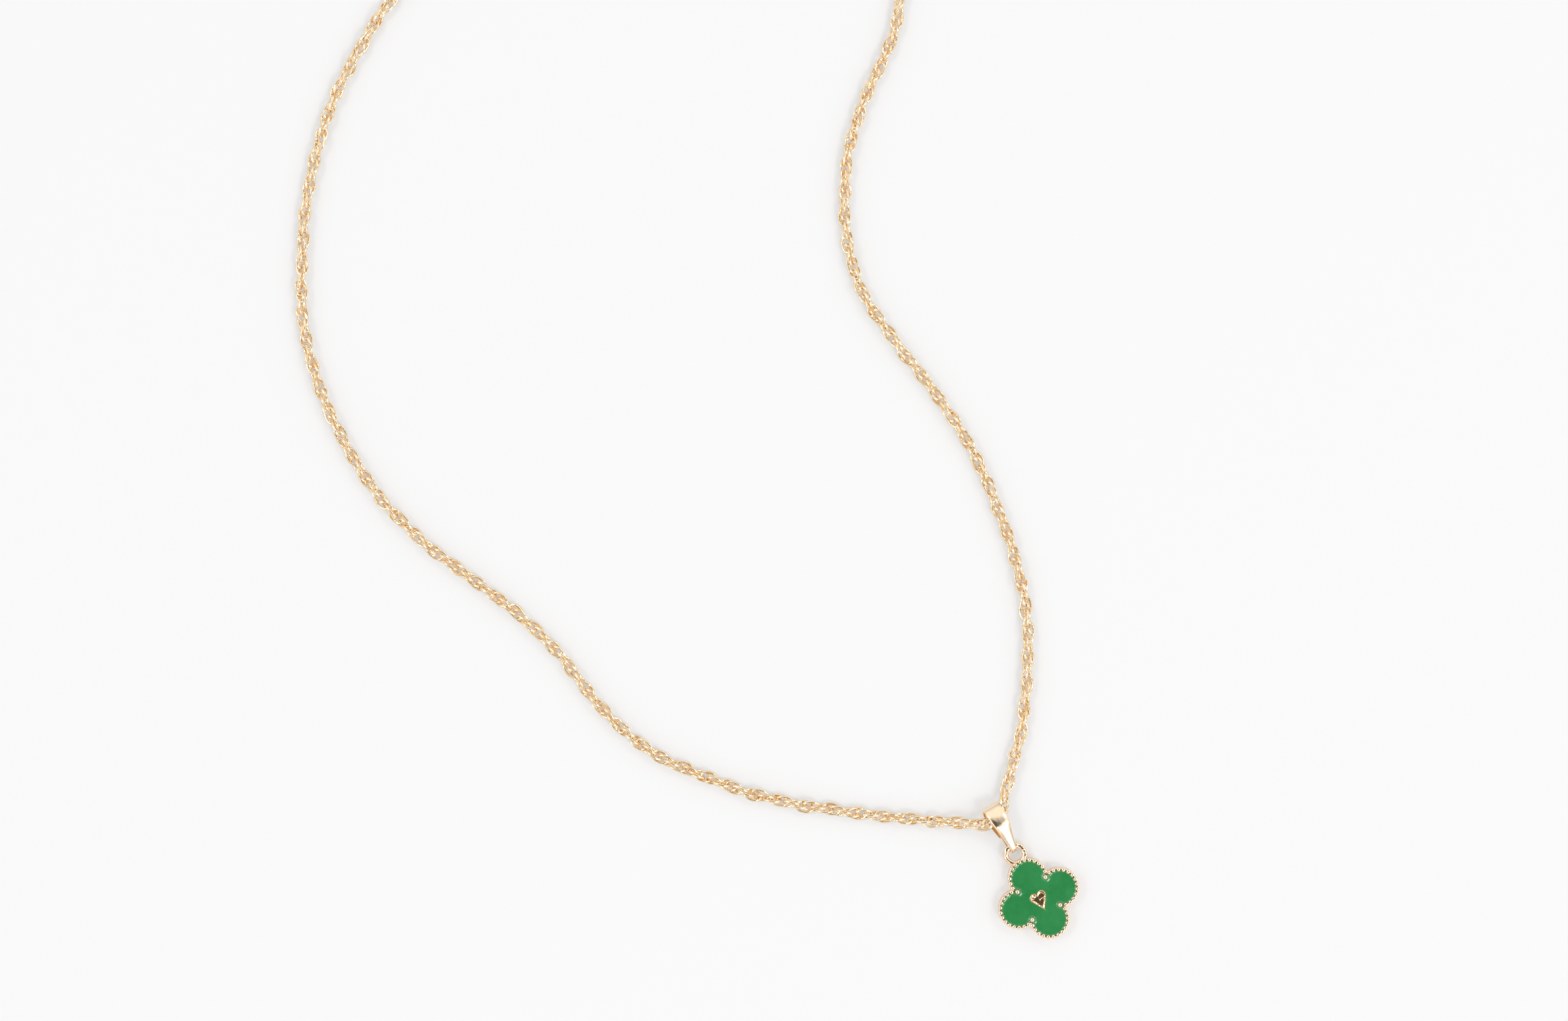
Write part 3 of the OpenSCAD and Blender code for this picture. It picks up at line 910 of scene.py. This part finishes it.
def enamel_finish():
    """Glossy opaque enamel: an even green with slow drifts of tone and a few pin-prick specks."""
    f = Finish(
        "leaf_green_enamel",
        Specular_IOR_Level=0.25,
        Coat_Weight=1.0,
        Coat_Roughness=0.05,
        Coat_IOR=1.5,
    )
    drift = f.speckle(0.35, detail=2)
    cloud = f.speckle(1.8, detail=3, seed=4)
    share = (drift * 1.5 + cloud * 0.5 - 0.5).held(0, 1)
    tone = f.blend(share, GREEN_DEEP, GREEN_LIGHT)
    speck = (f.speckle(7, detail=1, seed=8) - SPECKS_FROM).held(0, 1) * SPECKS_GAIN
    tone = f.blend(speck.held(0, 1), tone, GREEN_SPECK)
    wave = f.relief(f.speckle(0.9, detail=2, seed=2), depth_mm=0.012)
    return f.shine(Base_Color=tone, Roughness=0.3 + (cloud - 0.5) * 0.15, Normal=wave)


rose_gold = gold(
    "rose_gold_casting", (0.98, 0.76, 0.56), (0.94, 0.66, 0.44),
    rough=0.12, wave=0.012, grain=0.0015,
)
ring_gold = gold(
    "top_ring_gold", (0.98, 0.80, 0.60), (0.94, 0.68, 0.46),
    rough=0.18, wave=0.3, grain=0.0015, per_mm=1.3,
)
heart_gold = gold(
    "heart_gold", (0.92, 0.63, 0.37), (0.68, 0.41, 0.21),
    rough=0.14, wave=0.07, grain=0.01, per_mm=2.0,
)
strip_gold = gold(
    "bail_strip_gold", (0.97, 0.79, 0.60), (0.93, 0.72, 0.48),
    rough=0.13, wave=0.012, grain=0.002,
)
link_gold = gold(
    "chain_wire_gold", (1.0, 0.86, 0.65), (0.94, 0.66, 0.36),
    rough=0.14, wave=0.004, grain=0.001, patches=0.9, drift_gain=3,
)
clasp_gold = gold(
    "clasp_tube_gold", (0.94, 0.72, 0.42), (0.88, 0.63, 0.33),
    rough=0.16, wave=0.006, grain=0.0015,
)
green = enamel_finish()

# Clover
body = placed(cast_body(), on_pendant)
put_together("cast_clover", [body], rose_gold, "setting_gold", "clover_setting")

beads = repeated(ball(BEAD_D, BEAD_RISE), raised(bead_middles(), RIM_H), bead_frames())
large_ball = ball(CORNER_BALL_D, BALL_RISE, rows=15, columns=28)
balls = repeated(large_ball, raised(ball_at * FOUR_WAYS, RIM_H))
edge = [placed(beads, on_pendant), placed(balls, on_pendant)]
put_together("beaded_edge", edge, rose_gold, "setting_gold", "clover_setting")

heart = placed(heart_body(), on_pendant)
put_together("raised_heart", [heart], heart_gold, "setting_gold", "clover_setting")

ring = placed(round_ring(RING_R, RING_WIRE), lambda p: on_pendant(p + [0, RING_Y, RING_H]))
put_together("top_ring", [ring], ring_gold, "setting_gold", "clover_setting")

enamel = placed(enamel_body(), on_pendant)
put_together("enamel_face", [enamel], green, "green_enamel", "clover_enamel")

# Bail
bail = placed(bail_strip(), on_bail)
put_together("bail_strip", [bail], strip_gold, "bail_gold", "bail")

# Chain
link_at, link_frames, on_right = chain_links()
right_links = repeated(link(), link_at[on_right], link_frames[on_right])
left_links = repeated(link(), link_at[~on_right], link_frames[~on_right])
put_together("links_right", [right_links], link_gold, "chain_gold", "chain_right")
put_together("links_left", [left_links], link_gold, "chain_gold", "chain_left")

# Clasp and end ring
tube = placed(round_ring(CLASP_R, CLASP_TUBE_D, around=96, sides=28), sloped)
eye = placed(round_ring(EYE_R, EYE_WIRE, around=56), lambda p: sloped(p + [EYE_X, 0, 0]))
put_together("round_clasp", [tube, eye], clasp_gold, "clasp_gold", "clasp")
closing = placed(round_ring(END_RING_R, END_RING_WIRE), upright)
put_together("closing_ring", [closing], clasp_gold, "clasp_gold", "end_ring")


# Floor and light
def table_top():
    """The table: one level square just below the pieces, which glows faintly. The glow is painted
    light, which keeps the shadows round the pieces faint.
    """
    mesh = bpy.data.meshes.new("table_top")
    around = ((-1, -1), (1, -1), (1, 1), (-1, 1))
    corners = [(x * TABLE_HALF, y * TABLE_HALF, TABLE_Z) for x, y in around]
    mesh.from_pydata(corners, [], [(0, 1, 2, 3)])
    plain = Finish(
        "pale_table",
        Roughness=0.9,
        Base_Color=(0.5, 0.5, 0.5, 1),
        Specular_IOR_Level=0.1,
        # painted light: the table's own glow lifts the shade beside and under the pieces
        Emission_Color=(1, 1, 1, 1),
        Emission_Strength=TABLE_GLOW,
    )
    mesh.materials.append(plain.data)
    made = bpy.data.objects.new("table_top", mesh)
    bpy.context.scene.collection.objects.link(made)


def soft_box(name, azimuth, elevation, width, height, watts):
    """A rectangular light that looks at the middle of the object."""
    data = bpy.data.lights.new(name, "AREA")
    data.shape = "RECTANGLE"
    data.size, data.size_y = width, height
    data.energy = watts
    made = bpy.data.objects.new(name, data)
    a, e = math.radians(azimuth), math.radians(elevation)
    way = np.array([math.cos(a) * math.cos(e), math.sin(a) * math.cos(e), math.sin(e)])
    made.location = np.array(LIGHTS_AIM) + way * LIGHTS_AWAY
    across = unit(np.cross([0, 0, 1.0], way))
    turn = np.stack([across, np.cross(way, across), way], 1)
    made.rotation_euler = Matrix(turn.tolist()).to_euler()
    bpy.context.scene.collection.objects.link(made)


def studio():
    """A pale room, a little dimmer low down, with a dim patch overhead, over the camera.

    Its light rises smoothly with the direction's height, from ROOM_LOW to ROOM_HIGH. In the
    patch it falls smoothly to PATCH_LIGHT of that, with the cosine of the angle between the
    direction and the patch's middle.
    """
    room = Nodes(bpy.data.worlds.new("studio"))
    away = room.node("ShaderNodeTexCoord", out="Generated")
    lean, turn = math.radians(PATCH_LEAN), math.radians(PATCH_TURN)
    middle = (math.sin(lean) * math.cos(turn), math.sin(lean) * math.sin(turn), math.cos(lean))
    near = room.node(
        "ShaderNodeVectorMath", {"operation": "DOT_PRODUCT"}, {0: away, 1: middle}, out="Value"
    )
    height = room.node("ShaderNodeSeparateXYZ", inputs={0: away}, out="Z")
    dim = room.step(near, math.cos(math.radians(PATCH_OUT)), math.cos(math.radians(PATCH_IN)))
    high = room.step(height, ROOM_FROM, ROOM_TO)
    strength = (ROOM_LOW + (ROOM_HIGH - ROOM_LOW) * high) * (1 - dim * (1 - PATCH_LIGHT))
    room.feed(room.nodes["Background"].inputs["Color"], (1.0, 1.0, 1.0, 1))
    room.feed(room.nodes["Background"].inputs["Strength"], strength)
    bpy.context.scene.world = room.data


table_top()
for light in LIGHTS:
    soft_box(*light)
studio()
bpy.context.scene.view_settings.view_transform = "Standard"
